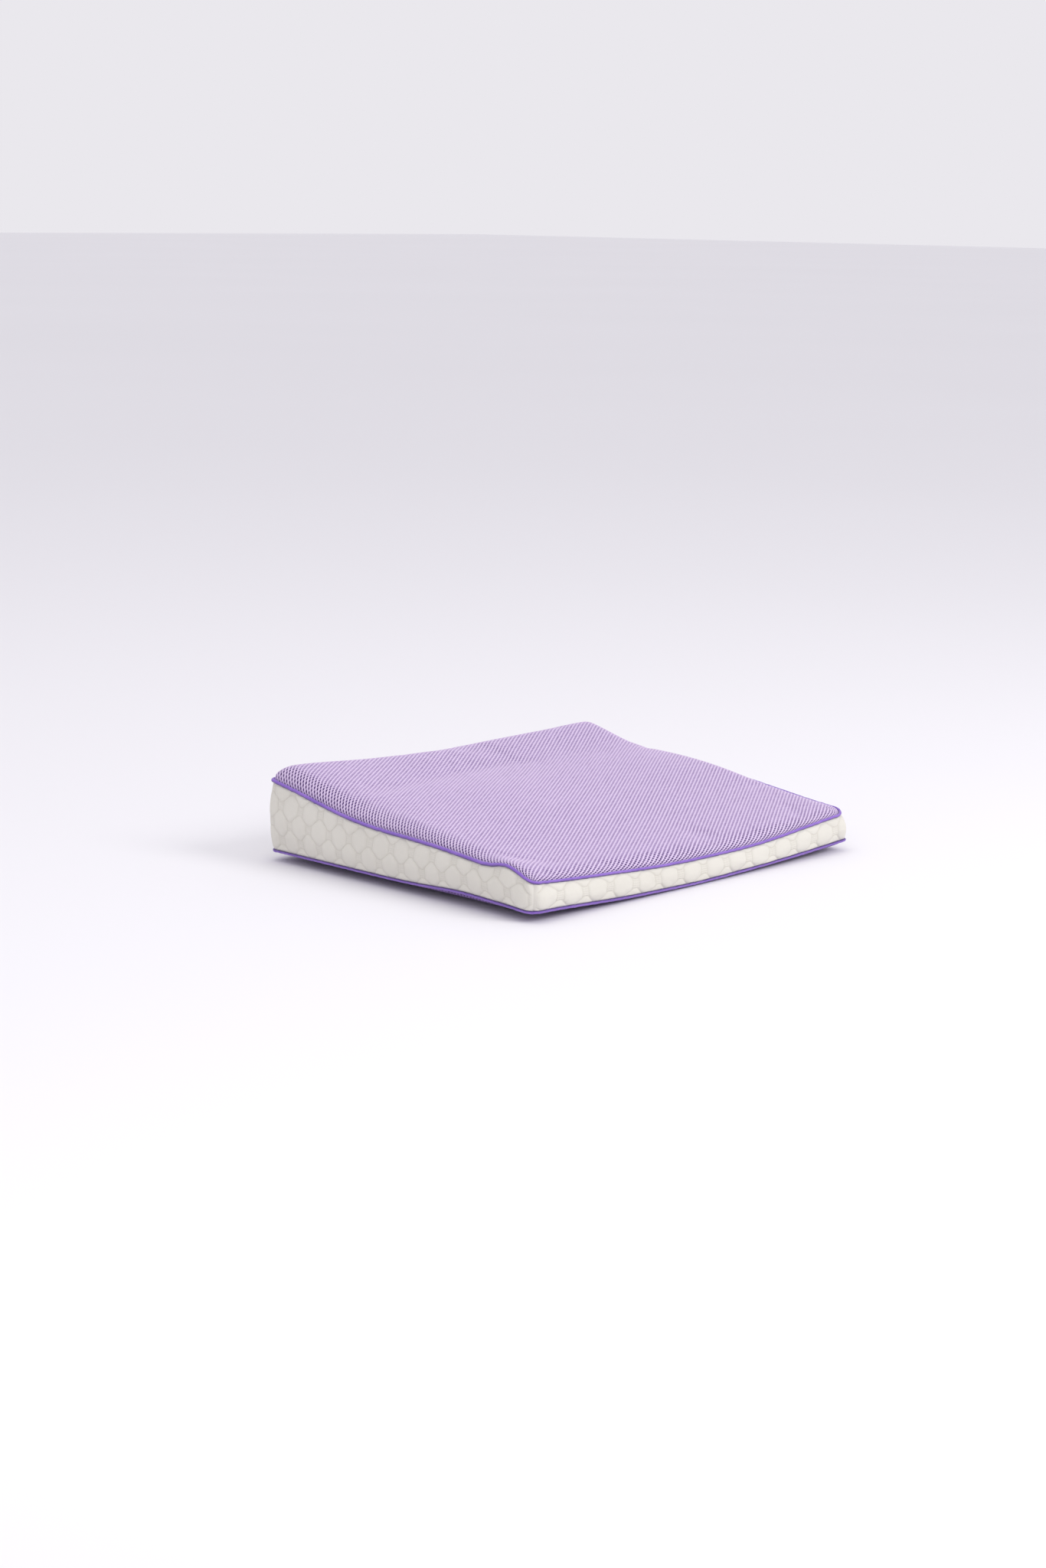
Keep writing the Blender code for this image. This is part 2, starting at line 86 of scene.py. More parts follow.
# The mesh fabric: staggered oval holes, with a rim around each and an inner layer below.
HOLE_PITCH_X = 0.0061
HOLE_PITCH_Y = 0.0040
HOLE_HALF_X = 0.00138
HOLE_HALF_Y = 0.00092
HOLE_SIZE_SPREAD = 0.07
HOLE_SHIFT = 0.00010
RIM_SIZE = 1.34
DEPTH_BETWEEN_HOLES = 0.00018
DEPTH_OF_RIM = 0.00025
DEPTH_OF_HOLE = 0.00120
DEPTH_OF_BACKING = 0.0022
# How much painted shade darkens the yarn there. It is 1 in the hole.
SHADE_BETWEEN_HOLES = 0.24
SHADE_OF_RIM = 0.26

# The quilting: octagons in staggered rows, with small stitched squares between them.
QUILT_ROW = 0.0165
QUILT_FIRST_ROW = 0.0125
QUILT_PITCH = 0.0277
QUILT_HALF_WIDTH = 0.0100
QUILT_HALF_HEIGHT = 0.0124
QUILT_ROUNDING = 0.0004
QUILT_BLEND = 0.0006
QUILT_PUFF = 0.0017
QUILT_PUFF_RUN = 0.0024
QUILT_SEAM = 0.0005
QUILT_BAR_PITCH = 0.0021
QUILT_POST_PITCH = 0.0026
STITCHED_DEPTH = 0.0003
# Where it is pressed smooth beside the zip: to either side of it, past its end, and the fade.
PRESSED_HEIGHT = 0.008
PRESSED_PAST_END = 0.014
PRESSED_FADE = 0.008
# The grid of a band: its columns' spacing, and its rows.
BAND_STEP = 0.0008
BAND_ROWS = 72

# The zip, as in the CAD.
ZIP_HEIGHT = 0.036
ZIP_OPENING_HALF = 0.0046
BAND_END_INNER = 0.184
# Each coil: its middle from the zip's, its section, its place out along Y, and its wire.
COIL_MIDDLE = 0.001925
COIL_WIDTH = 0.00235
COIL_DEPTH = 0.0022
COIL_OUT = 0.1770
COIL_WIRE = 0.0003
COIL_END = 0.1785
COIL_PITCH = 0.0013
COIL_STEPS = 9

# The lockstitches beside the zip's opening.
STITCH_PITCH = 0.0032
STITCH_LENGTH = 0.0026
STITCH_RADIUS = 0.00022
STITCH_FROM_EDGE = 0.0030
# How far in the last three rows of a folded edge lie.
HEM = (0.0022, 0.0014, 0.0004)

# The cloth simulation: a coarse mesh, how near the zip it is held, a share of spare cloth, a
# push from inside, the frames that it runs for, and the most that a point may move.
COARSE = 0.006
COARSE_BAND_ROWS = 12
HELD_BY_ZIP = 0.008
SPARE_CLOTH = 0.003
PUSH = 0.30
SETTLING = 20
MOST_MOVED = 0.0007

# What is inside: how deep the foam and the liner lie below the cover, how much further in their
# edges lie, and the liner's cut. Its slot starts this many faces from each end of the back.
FOAM_DEPTH = 0.0050
LINER_DEPTH = 0.0036
FILLING_INSET = 0.004
FILLING_GRID = (76, 60)
SLOT_FROM_END = 6

# Blender's wave texture makes about this many waves in each unit. Cloth is textured in mm.
WAVES_PER_UNIT = 3.2
MILLIMETRES = 1000.0


# --- The shape of the cover ---


def hill(value, middle, width):
    """A smooth bump, 1 high at its middle."""
    return np.exp(-(((value - middle) / width) ** 2))


def ease(value):
    """A smooth step from 0 to 1."""
    value = np.clip(value, 0, 1)
    return value * value * (3 - 2 * value)


def sag(x):
    """Height of the whole cushion off the floor. A chair seat has bent it, so its sides lift."""
    away = np.clip(np.abs(x + 0.006) / (HALF_W + 0.006), 0, 1)
    bend = 0.0080 * (1 - np.cos(math.pi / 2 * away))
    softness = 0.0006
    return np.logaddexp(0, (bend - 0.0012) / softness) * softness


def slope(y):
    """The plain slope of the upper seam, from the front to the back."""
    share = y / DEPTH + 0.5
    return HIGH_FRONT + (HIGH_BACK - HIGH_FRONT) * share


def seam_rise(x, y):
    """How far the upper seam is off its sloping plane. It fades towards the middle of the top."""
    from_left, from_right = HALF_W + x, HALF_W - x
    from_front, from_back = HALF_D + y, HALF_D - y
    left = 0.0068 * hill(y, -0.1435, 0.020) * np.exp(-from_left / 0.016)
    left -= 0.0086 * hill(y, 0.056, 0.088) * np.exp(-from_left / 0.018)
    right = 0.0012 * hill(y, -0.165, 0.025) * np.exp(-from_right / 0.020)
    right -= 0.0065 * hill(y, 0.090, 0.080) * np.exp(-from_right / 0.020)
    front = -0.0050 * np.exp(-(np.abs((x - 0.022) / 0.128) ** 3)) * np.exp(-from_front / 0.030)
    front -= 0.0006 * hill(x, -0.160, 0.045) * np.exp(-from_front / 0.020)
    back = -0.0030 * hill(x, 0.0, 0.150) * np.exp(-from_back / 0.030)
    return left + right + front + back


def upper_seam(x, y):
    """Height of the upper seam, and of the top's plane further in."""
    return slope(y) + seam_rise(x, y) + sag(x)


def lower_seam(x, y):
    """The lower seam droops at the front, and waves a little behind the front left corner."""
    left = 0.0031 * hill(y, -0.085, 0.050) - 0.0012 * ease((-y - 0.140) / 0.030)
    front = 0.0012 * hill(x, -0.190, 0.070) - 0.0012 * hill(x, 0.000, 0.060)
    front *= np.exp(-(y + HALF_D) / 0.030)
    return LOW_SEAM + sag(x) + left * np.exp(-(x + HALF_W) / 0.030) + front


def roll(distance, run):
    """Rise of a panel above its seam, from 0 at the seam to 1 at the end of the run."""
    share = np.clip(distance / run, 0, 1)
    return np.sqrt(np.clip(1 - (1 - share) ** ROLL_POWER, 0, 1))


def pillow(inset_x, inset_y, run):
    """Rise of a panel at two distances from its edges. It stays full into the corners."""
    first = np.maximum(roll(inset_x, run), 1e-3)
    second = np.maximum(roll(inset_y, run), 1e-3)
    return (first**-4 + second**-4 - 1) ** -0.25


def roll_table(run, rise):
    """Arc length along a roll, and the plan distance that it covers, as two matching rows."""
    distance = run * np.linspace(0, 1, 400) ** 2
    height = rise * roll(distance, run)
    arc = np.concatenate([[0], np.cumsum(np.hypot(np.diff(distance), np.diff(height)))])
    return arc, distance


def fold_in(along, half, table):
    """Plan coordinate of a fabric coordinate on a panel, and its distance from the panel's edge."""
    arc, distance = table
    from_edge = cloth_half(half, table) - np.abs(along)
    inset = np.interp(from_edge, arc, distance) + np.maximum(from_edge - arc[-1], 0)
    return np.sign(along) * (half - PANEL_EDGE - inset), inset, np.minimum(from_edge, 0)


def cloth_half(half, table):
    """Half the length of a panel's cloth, whose rolled edges take up more than their plan."""
    arc, distance = table
    return half - PANEL_EDGE - distance[-1] + arc[-1]


def corner_radius(corners, x_sign, y_sign):
    """The radius of the corner that a point is nearest to."""
    front_left, front_right, back_right, back_left = corners
    front = np.where(x_sign < 0, front_left, front_right)
    back = np.where(x_sign < 0, back_left, back_right)
    return np.where(y_sign < 0, front, back)


def round_corner(x, y, corners):
    """Moves points of a plain rectangle into one with rounded corners."""
    radius = corner_radius(corners, x, y) - PANEL_EDGE
    i = (np.abs(x) - (HALF_W - PANEL_EDGE - radius)) / radius
    j = (np.abs(y) - (HALF_D - PANEL_EDGE - radius)) / radius
    inside = (i > 0) & (j > 0)
    safe_i = np.where(inside, i, 1)
    safe_j = np.where(inside, j, 1)
    reach = np.maximum(safe_i, safe_j) * radius
    steep = math.pi / 2 - math.pi / 4 * safe_i / safe_j
    angle = np.where(safe_i >= safe_j, math.pi / 4 * safe_j / safe_i, steep)
    turned_x = HALF_W - PANEL_EDGE - radius + reach * np.cos(angle)
    turned_y = HALF_D - PANEL_EDGE - radius + reach * np.sin(angle)
    x = np.where(inside, np.sign(x) * turned_x, x)
    y = np.where(inside, np.sign(y) * turned_y, y)
    return x, y


def crown(x, y):
    """Height of the top above its seam plane. The seat's hollow shows through as a long dip."""
    right = ease((x - 0.05) / (HALF_W - 0.05))
    left = ease((-x - 0.05) / (HALF_W - 0.05))
    front = ease((-y - 0.03) / (HALF_D - 0.03))
    back = ease((y - 0.05) / (HALF_D - 0.05))
    dip = (0.0024 * hill(y, 0.100, 0.045) + 0.0030 * hill(y, -0.070, 0.050)) * right
    hollow = (0.0040 + 0.0042 * front) * hill(x, 0.036, 0.112) * hill(y, -0.020, 0.150)
    hollow += 0.0056 * hill(y, 0.106, 0.043) * hill(x, 0.000, 0.190)
    lifted = -0.0036 * ease((-x - 0.02) / 0.18) * ease((0.130 - y) / 0.110)
    rise = 0.0125 + 0.0022 * back + 0.0018 * back * left + 0.0012 * hill(y, -0.010, 0.060)
    return rise - 0.0052 * right - 0.0028 * front - dip - hollow + lifted


# What the cloth simulation adds to each part of the cover, filled in further down: for each
# part, a grid of heights with the first coordinates and the steps of its rows and columns.
RELAXED = {}


def spline_weights(t):
    """Weights of the four nearest grid lines in a smooth lookup between them."""
    return np.stack([(1 - t) ** 3, 3 * t**3 - 6 * t**2 + 4, 3 * (t + t**2 - t**3) + 1, t**3]) / 6


def relaxed(part, u, v):
    """How far out the simulation moved a part of the cover at its cloth coordinates."""
    if part not in RELAXED:
        return 0.0
    heights, first_u, first_v, step_u, step_v = RELAXED[part]
    u, v = np.broadcast_arrays((u - first_u) / step_u, (v - first_v) / step_v)
    i, j = np.floor(u).astype(int), np.floor(v).astype(int)
    across, along = spline_weights(v - j), spline_weights(u - i)
    total = np.zeros(u.shape)
    for k in range(4):
        row = np.clip(j + k - 1, 0, heights.shape[0] - 1)
        for n in range(4):
            column = np.clip(i + n - 1, 0, heights.shape[1] - 1)
            total += across[k] * along[n] * heights[row, column]
    return total


TOP_TABLE = roll_table(TOP_RUN, TOP_RISE)
UNDER_TABLE = roll_table(UNDER_RUN, LOW_SEAM)


def top_surface(a, b):
    """Point of the top at cloth coordinates a (along X) and b (along Y) from its middle.

    Past its edge, the cloth goes straight down behind the piping, as its seam allowance.
    """
    x, inset_x, under_x = fold_in(a, HALF_W, TOP_TABLE)
    y, inset_y, under_y = fold_in(b, HALF_D, TOP_TABLE)
    x, y = round_corner(x, y, HIGH_CORNERS)
    z = upper_seam(x, y) + PANEL_OFF_SEAM + crown(x, y) * pillow(inset_x, inset_y, TOP_RUN)
    z = z + np.minimum(under_x, under_y) + relaxed("top", a, b)
    return np.stack([x, y, z], -1)


def under_surface(a, b):
    """Point of the underside. It bellies down from its seam to the floor."""
    x, inset_x, above_x = fold_in(a, HALF_W, UNDER_TABLE)
    y, inset_y, above_y = fold_in(b, HALF_D, UNDER_TABLE)
    x, y = round_corner(x, y, LOW_CORNERS)
    belly = pillow(inset_x, inset_y, UNDER_RUN)
    overhang = 0.0032 * ease((x - 0.05) / 0.12) * np.exp(-(y + HALF_D) / 0.050)
    overhang = np.minimum(overhang, sag(x))
    z = (sag(x) - overhang) * belly + (lower_seam(x, y) - PANEL_OFF_SEAM) * (1 - belly)
    return np.stack([x, y, z - np.minimum(above_x, above_y)], -1)


def side_radius(side, along, corners):
    """Radius of the corner at the end of a side that a point on it is nearest to."""
    ends = {FRONT: (along, -1), RIGHT: (1, along), BACK: (-along, 1), LEFT: (-1, -along)}
    return corner_radius(corners, *ends[side])


def plan_point(side, along, out, corners):
    """Plan point at a distance along one side from its middle, and outside the seam line."""
    radius = side_radius(side, along, corners)
    half_along, half_out = (HALF_W, HALF_D) if side in (FRONT, BACK) else (HALF_D, HALF_W)
    straight = half_along - radius
    angle = np.clip(np.abs(along) - straight, 0, None) / radius * math.pi / 4
    reach = np.minimum(np.abs(along), straight) + (radius + out) * np.sin(angle)
    u = np.sign(along) * reach
    v = half_out - radius + (radius + out) * np.cos(angle)
    turn = math.radians(90 * side)
    x = u * math.cos(turn) + v * math.sin(turn)
    y = u * math.sin(turn) - v * math.cos(turn)
    return x, y


def bulge(share):
    """How far out a band swells at a share of its height."""
    return BULGE * 4 * share * (1 - share)


def band_surface(side, along, share):
    """Point of a band at a share of its height, from the lower seam to the upper one."""
    low_x, low_y = plan_point(side, along, 0, LOW_CORNERS)
    high_x, high_y = plan_point(side, along, 0, HIGH_CORNERS)
    low, high = lower_seam(low_x, low_y), upper_seam(high_x, high_y)
    out = bulge(share) + relaxed(side, along, share)
    low_x, low_y = plan_point(side, along, out, LOW_CORNERS)
    high_x, high_y = plan_point(side, along, out, HIGH_CORNERS)
    x = low_x + (high_x - low_x) * share
    y = low_y + (high_y - low_y) * share
    return np.stack([x, y, low + (high - low) * share], -1)


def normals(surface, u, v, flip=1):
    """Unit normals of a surface at pairs of coordinates."""
    step = 0.0004
    across = surface(u + step, v) - surface(u - step, v)
    up = surface(u, v + step) - surface(u, v - step)
    normal = np.cross(across, up) * flip
    return normal / np.linalg.norm(normal, axis=-1, keepdims=True)


# --- Meshes ---


def mesh_object(name, points, faces, made_of, smooth=True):
    """A mesh from arrays: points, and faces as one array for each count of corners."""
    mesh = bpy.data.meshes.new(name)
    points = np.asarray(points, np.float32).reshape(-1, 3)
    mesh.vertices.add(len(points))
    mesh.vertices.foreach_set("co", points.ravel())
    groups = [np.asarray(group, np.int32) for group in faces if len(group)]
    corners = np.concatenate([group.ravel() for group in groups])
    sizes = np.concatenate([np.full(len(group), group.shape[1], np.int32) for group in groups])
    starts = np.concatenate([[0], np.cumsum(sizes)[:-1]]).astype(np.int32)
    mesh.loops.add(len(corners))
    mesh.loops.foreach_set("vertex_index", corners)
    mesh.polygons.add(len(sizes))
    mesh.polygons.foreach_set("loop_start", starts)
    mesh.update(calc_edges=True)
    mesh.validate()
    if smooth:
        mesh.shade_smooth()
    mesh.materials.append(made_of)
    obj = bpy.data.objects.new(name, mesh)
    bpy.context.scene.collection.objects.link(obj)
    return obj


def point_values(obj, name, values):
    """Stores one number, or one vector, for each point, for the material to read."""
    values = np.asarray(values, np.float32)
    kind = "FLOAT" if values.ndim == 1 else "FLOAT_VECTOR"
    attribute = obj.data.attributes.new(name, kind, "POINT")
    attribute.data.foreach_set("value" if kind == "FLOAT" else "vector", values.ravel())


def grid_faces(rows, columns, closed=False):
    """Quads of a grid whose points are listed row by row."""
    span = columns if closed else columns - 1
    i, j = np.meshgrid(np.arange(rows - 1), np.arange(span), indexing="ij")
    following = (j + 1) % columns
    corners = [i * columns + j, i * columns + following]
    corners += [(i + 1) * columns + following, (i + 1) * columns + j]
    return np.stack(corners, -1).reshape(-1, 4)


def piece(obj, slot, *nodes):
    """Puts a finished piece on the cushion, in place of its CAD nodes. Its slot is not used."""
    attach(obj, "cushion")
    if nodes:
        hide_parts(*nodes)


# --- The cloth simulation ---


def coarse_cover():
    """The top and the four sides as coarse grids: where each lies, its points, its faces, and
    whether each point is held."""
    parts, points, faces, held = [], [], [], []
    start = 0
    half_a, half_b = cloth_half(HALF_W, TOP_TABLE), cloth_half(HALF_D, TOP_TABLE)
    shapes = [("top", half_a, (-half_b, half_b), top_surface)]
    for side, half in SIDES:
        shapes.append((side, half, (0.0, 1.0), partial(band_surface, side)))
    for part, half, (v_from, v_to), surface in shapes:
        columns = int(round(2 * half / COARSE)) + 1
        rows = int(round((v_to - v_from) / COARSE)) + 1 if part == "top" else COARSE_BAND_ROWS
        u_lines, v_lines = np.linspace(-half, half, columns), np.linspace(v_from, v_to, rows)
        u, v = np.meshgrid(u_lines, v_lines)
        grid = surface(u, v)
        border = np.zeros(u.shape, bool)
        border[[0, -1], :] = True
        border[:, [0, -1]] = True
        if part == BACK:
            border |= np.abs(grid[..., 2] - ZIP_HEIGHT) < HELD_BY_ZIP
        parts.append((part, u_lines, v_lines, start, grid.shape[:2]))
        points.append(grid.reshape(-1, 3))
        faces.append(grid_faces(rows, columns) + start)
        held.append(border.ravel())
        start += grid.shape[0] * grid.shape[1]
    return parts, np.concatenate(points), np.concatenate(faces), np.concatenate(held)


def add_cloth(cover, held):
    """Makes an object cloth that is held at some of its points and pushed out from inside."""
    group = cover.vertex_groups.new(name="held")
    group.add([int(k) for k in np.flatnonzero(held)], 1.0, "REPLACE")
    cloth = cover.modifiers.new("cloth", "CLOTH")
    cloth.settings.quality = 5
    cloth.settings.mass = 0.2
    cloth.settings.tension_stiffness = 15
    cloth.settings.compression_stiffness = 8
    cloth.settings.bending_stiffness = 0.8
    cloth.settings.air_damping = 2
    cloth.settings.vertex_group_mass = "held"
    cloth.settings.shrink_min = -SPARE_CLOTH
    cloth.settings.use_pressure = True
    cloth.settings.uniform_pressure_force = PUSH
    cloth.settings.effector_weights.gravity = 0
    cloth.collision_settings.use_collision = False


def relax_cover():
    """Lets the cover settle under the foam's push, held along its seams and its zip.

    The cloth is cut a little larger than the shape, so it finds its own soft waves between the
    seams. What it moves is kept for relaxed().
    """
    parts, before, faces, held = coarse_cover()
    plain = bpy.data.materials.new("coarse")
    cover = mesh_object("coarse_cover", before, [faces], plain)
    add_cloth(cover, held)
    scene = bpy.context.scene
    for step in range(1, SETTLING + 1):
        scene.frame_set(step)
    settled = cover.evaluated_get(bpy.context.evaluated_depsgraph_get()).to_mesh()
    after = np.zeros(before.size, np.float32)
    settled.vertices.foreach_get("co", after)
    moved = after.reshape(-1, 3) - before
    scene.frame_set(1)
    bpy.data.objects.remove(cover)
    bpy.data.materials.remove(plain)

    outwards = {FRONT: (0, -1, 0), RIGHT: (1, 0, 0), BACK: (0, 1, 0), LEFT: (-1, 0, 0)}
    outwards["top"] = (0, 0, 1)
    for part, u_lines, v_lines, first, (rows, columns) in parts:
        heights = moved[first : first + rows * columns] @ np.array(outwards[part], float)
        heights = np.clip(heights.reshape(rows, columns), -MOST_MOVED, MOST_MOVED)
        steps = u_lines[1] - u_lines[0], v_lines[1] - v_lines[0]
        RELAXED[part] = (heights, u_lines[0], v_lines[0], *steps)


# --- Materials ---


def linear(display):
    """A display colour, 0 to 255, as linear values."""
    values = [channel / 255 for channel in display]
    curve = [v / 12.92 if v <= 0.04045 else ((v + 0.055) / 1.055) ** 2.4 for v in values]
    return (*curve, 1.0)


class Material:
    """A node material with short calls for the nodes that the cloths share."""

    def __init__(self, name, roughness, sheen=0.0, metallic=0.0):
        self.made = bpy.data.materials.new(name)
        self.made.use_nodes = True
        self.tree = self.made.node_tree
        self.shader = self.tree.nodes["Principled BSDF"]
        self.shader.inputs["Roughness"].default_value = roughness
        self.shader.inputs["Sheen Weight"].default_value = sheen
        self.shader.inputs["Metallic"].default_value = metallic

    def node(self, kind, settings=None, **inputs):
        node = self.tree.nodes.new("ShaderNode" + kind)
        for name, value in (settings or {}).items():
            setattr(node, name, value)
        for name, value in inputs.items():
            self.set(node, name.replace("_", " "), value)
        return node

    def set(self, node, name, value):
        """Links a node's socket, given by name or number, to another one, or sets its value."""
        socket = node.inputs[name]
        if isinstance(value, bpy.types.NodeSocket):
            self.tree.links.new(value, socket)
        else:
            socket.default_value = value

    def stored(self, name, output="Fac"):
        return self.node("Attribute", {"attribute_name": name}).outputs[output]

    def place(self, scale, attribute=None):
        """Coordinates in metres times a scale, from the object or from a stored attribute."""
        if attribute:
            source = self.stored(attribute, "Vector")
        else:
            source = self.node("TexCoord").outputs["Object"]
        scaled = self.node("Mapping", Vector=source)
        scaled.inputs["Scale"].default_value = scale if hasattr(scale, "__len__") else [scale] * 3
        return scaled.outputs["Vector"]

    def noise(self, place, scale=1.0, detail=3.0):
        return self.node("TexNoise", Vector=place, Scale=scale, Detail=detail).outputs["Fac"]

    def patches(self, scale):
        return self.noise(self.place(scale), detail=2.0)

    def wave(self, place, pitch, direction, distortion=0.0):
        """Soft stripes at a pitch, across one direction."""
        settings = {"wave_type": "BANDS", "bands_direction": direction}
        scale = 1 / pitch / WAVES_PER_UNIT
        made = self.node("TexWave", settings, Vector=place, Scale=scale, Distortion=distortion)
        return made.outputs["Fac"]

    def woven(self, place, first, second):
        """Two sets of stripes that cross, each given as wave() takes it."""
        node = self.node("Math", {"operation": "MULTIPLY"})
        self.set(node, 0, self.wave(place, *first))
        self.set(node, 1, self.wave(place, *second))
        return node.outputs["Value"]

    def scaled(self, value, low, high, to_low, to_high):
        """A value taken from one range to another, and kept inside it."""
        ends = {"From_Min": low, "From_Max": high, "To_Min": to_low, "To_Max": to_high}
        return self.node("MapRange", Value=value, **ends).outputs["Result"]

    def mix(self, share, first, second):
        """Mixes two colours, each a socket or a display colour. Among the Mix node's sockets,
        6 and 7 take the colours and output 2 gives the result."""
        node = self.node("Mix", {"data_type": "RGBA"})
        self.set(node, 0, share)
        for number, colour in ((6, first), (7, second)):
            self.set(node, number, linear(colour) if isinstance(colour, tuple) else colour)
        return node.outputs[2]

    def darken(self, tone, dark, texture, low, high, most):
        """Mixes a darker tone in where a texture is low, up to a share."""
        return self.mix(self.scaled(texture, low, high, most, 0.0), tone, dark)

    def yarn(self, light, dark, threads, fibre, patch_scale, shares):
        """Cloth that is darker beside its threads, along its fibres and in large patches."""
        tone = self.darken(light, dark, threads, 0.0, 1.0, shares[0])
        tone = self.darken(tone, dark, fibre, 0.3, 0.7, shares[1])
        return self.darken(tone, dark, self.patches(patch_scale), 0.35, 0.65, shares[2])

    def colour(self, value):
        self.set(self.shader, "Base Color", value)

    def bump(self, height, distance, strength=1.0, under=None):
        node = self.node("Bump", Height=height, Distance=distance, Strength=strength)
        if under is not None:
            self.set(node, "Normal", under)
        self.set(self.shader, "Normal", node.outputs["Normal"])
        return node.outputs["Normal"]


def mesh_fabric(name, light, dark, hole_shade):
    """Knitted mesh: light yarn with painted shade darkening it into the holes, with fine stitches
    across it.
    """
    cloth = Material(name, 0.9, sheen=0.15)
    stitches = cloth.place(MILLIMETRES, "cloth")
    knit = cloth.woven(stitches, (0.55, "X", 1.2), (0.8, "Y", 1.5))
    fibre = cloth.noise(stitches, 3.0)
    yarn = cloth.yarn(light, dark, knit, fibre, 9.0, (0.35, 0.12, 0.10))
    # The stored depth value is painted shade: it darkens the yarn towards the hole's shade colour.
    cloth.colour(cloth.mix(cloth.scaled(cloth.stored("depth"), 0.05, 1.0, 0.0, 1.0), yarn, hole_shade))
    under = cloth.bump(knit, 0.00025, 0.6)
    cloth.bump(fibre, 0.00008, 0.5, under)
    return cloth.made


def backing_fabric(name, colour, hollow):
    """The mesh's inner layer, seen through its holes."""
    cloth = Material(name, 0.95)
    fibre = cloth.noise(cloth.place(MILLIMETRES), 1.6)
    cloth.colour(cloth.mix(fibre, colour, hollow))
    cloth.bump(fibre, 0.0002, 0.6)
    return cloth.made


def quilted_knit(name, light, shade):
    """Soft knit of the bands: fine V stitches, with painted shade darkening the stitched grooves.
    """
    cloth = Material(name, 0.92, sheen=0.1)
    stitches = cloth.place(MILLIMETRES, "cloth")
    knit = cloth.woven(stitches, (0.9, "X", 0.6), (0.7, "Y", 0.8))
    fibre = cloth.noise(stitches, 2.4)
    yarn = cloth.yarn(light, shade, knit, fibre, 14.0, (0.30, 0.15, 0.15))
    # Painted shade darkens the yarn in the stitched grooves.
    cloth.colour(cloth.mix(cloth.scaled(cloth.stored("groove_shade"), 0.0, 1.0, 0.0, 0.55), yarn, shade))
    under = cloth.bump(knit, 0.0002, 0.5)
    cloth.bump(fibre, 0.00008, 0.5, under)
    return cloth.made


def piping_cloth(name, light, dark, folded):
    """Satin bias binding: fine slanting ribs, darker threads here and there, and a painted shade
    line where it folds in towards the band."""
    cloth = Material(name, 0.55, sheen=0.3)
    ribs_at = cloth.place(MILLIMETRES, "cloth")
    ribs = cloth.wave(ribs_at, 0.7, "DIAGONAL", 0.7)
    fibre = cloth.noise(ribs_at, 1.5)
    yarn = cloth.yarn(light, dark, ribs, fibre, 60.0, (0.55, 0.3, 0.3))
    # The fold attribute mixes in painted shade where the sleeve meets the band.
    cloth.colour(cloth.mix(cloth.stored("fold"), yarn, folded))
    under = cloth.bump(ribs, 0.00015, 0.6)
    cloth.bump(fibre, 0.00006, 0.4, under)
    return cloth.made


def plain_cloth(name, light, dark, pitch, roughness=0.9):
    """A plain woven or knitted cloth of one colour, for the pieces that hardly show."""
    cloth = Material(name, roughness)
    threads = cloth.place(MILLIMETRES)
    weave = cloth.woven(threads, (pitch, "X"), (pitch, "Z"))
    tone = cloth.darken(light, dark, weave, 0.0, 1.0, 0.5)
    cloth.colour(cloth.darken(tone, dark, cloth.noise(threads, 1.2), 0.3, 0.7, 0.3))
    cloth.bump(weave, 0.0002, 0.6)
    return cloth.made


def foam_material():
    cloth = Material("memory_foam", 0.95)
    cells = cloth.node("TexVoronoi", Vector=cloth.place(MILLIMETRES), Scale=0.9).outputs["Distance"]
    cloth.colour(cloth.mix(cells, (226, 218, 188), (244, 238, 214)))
    cloth.bump(cells, 0.0004, 0.7)
    return cloth.made


def nickel_material():
    metal = Material("brushed_nickel", 0.32, metallic=1.0)
    grain = metal.noise(metal.place((400.0, 4000.0, 4000.0)))
    metal.colour(metal.mix(grain, (176, 176, 178), (204, 204, 206)))
    metal.set(metal.shader, "Roughness", metal.scaled(grain, 0.3, 0.7, 0.24, 0.42))
    metal.bump(grain, 0.00003, 0.4)
    return metal.made


LILAC = (236, 219, 244)
LILAC_SHADE = (200, 178, 221)
# Painted shade for the lilac mesh's holes.
LILAC_HOLE_SHADE = (122, 90, 158)
PURPLE = (150, 120, 186)
PURPLE_SHADE = (120, 92, 158)
# Painted shade for the purple mesh's holes.
PURPLE_HOLE_SHADE = (60, 40, 92)
BINDING = (162, 120, 220)
BINDING_SHADE = (84, 44, 156)
# Painted shade where the piping folds in towards the band.
BINDING_FOLD_SHADE = (48, 20, 92)
lilac_mesh = mesh_fabric("lilac_mesh", LILAC, LILAC_SHADE, LILAC_HOLE_SHADE)
lilac_backing = backing_fabric("lilac_backing", (128, 92, 178), (84, 54, 132))
purple_mesh = mesh_fabric("purple_mesh", PURPLE, PURPLE_SHADE, PURPLE_HOLE_SHADE)
purple_backing = backing_fabric("purple_backing", (70, 48, 104), (36, 22, 58))
cream_knit = quilted_knit("cream_knit", (229, 227, 218), (196, 191, 181))
purple_piping = piping_cloth("purple_piping", BINDING, BINDING_SHADE, BINDING_FOLD_SHADE)
cord_fibre = plain_cloth("cord_fibre", (226, 226, 222), (190, 190, 186), 0.5)
liner_knit = plain_cloth("liner_knit", (236, 236, 234), (214, 214, 212), 0.5)
zip_tape_cloth = plain_cloth("zip_tape_cloth", (228, 224, 216), (196, 192, 184), 0.5)
nylon = plain_cloth("zip_nylon", (234, 231, 224), (214, 210, 202), 0.4, 0.45)
foam = foam_material()
nickel = nickel_material()
thread = plain_cloth("stitching_thread", (238, 234, 226), (206, 200, 190), 0.3)


# --- The mesh panels ---


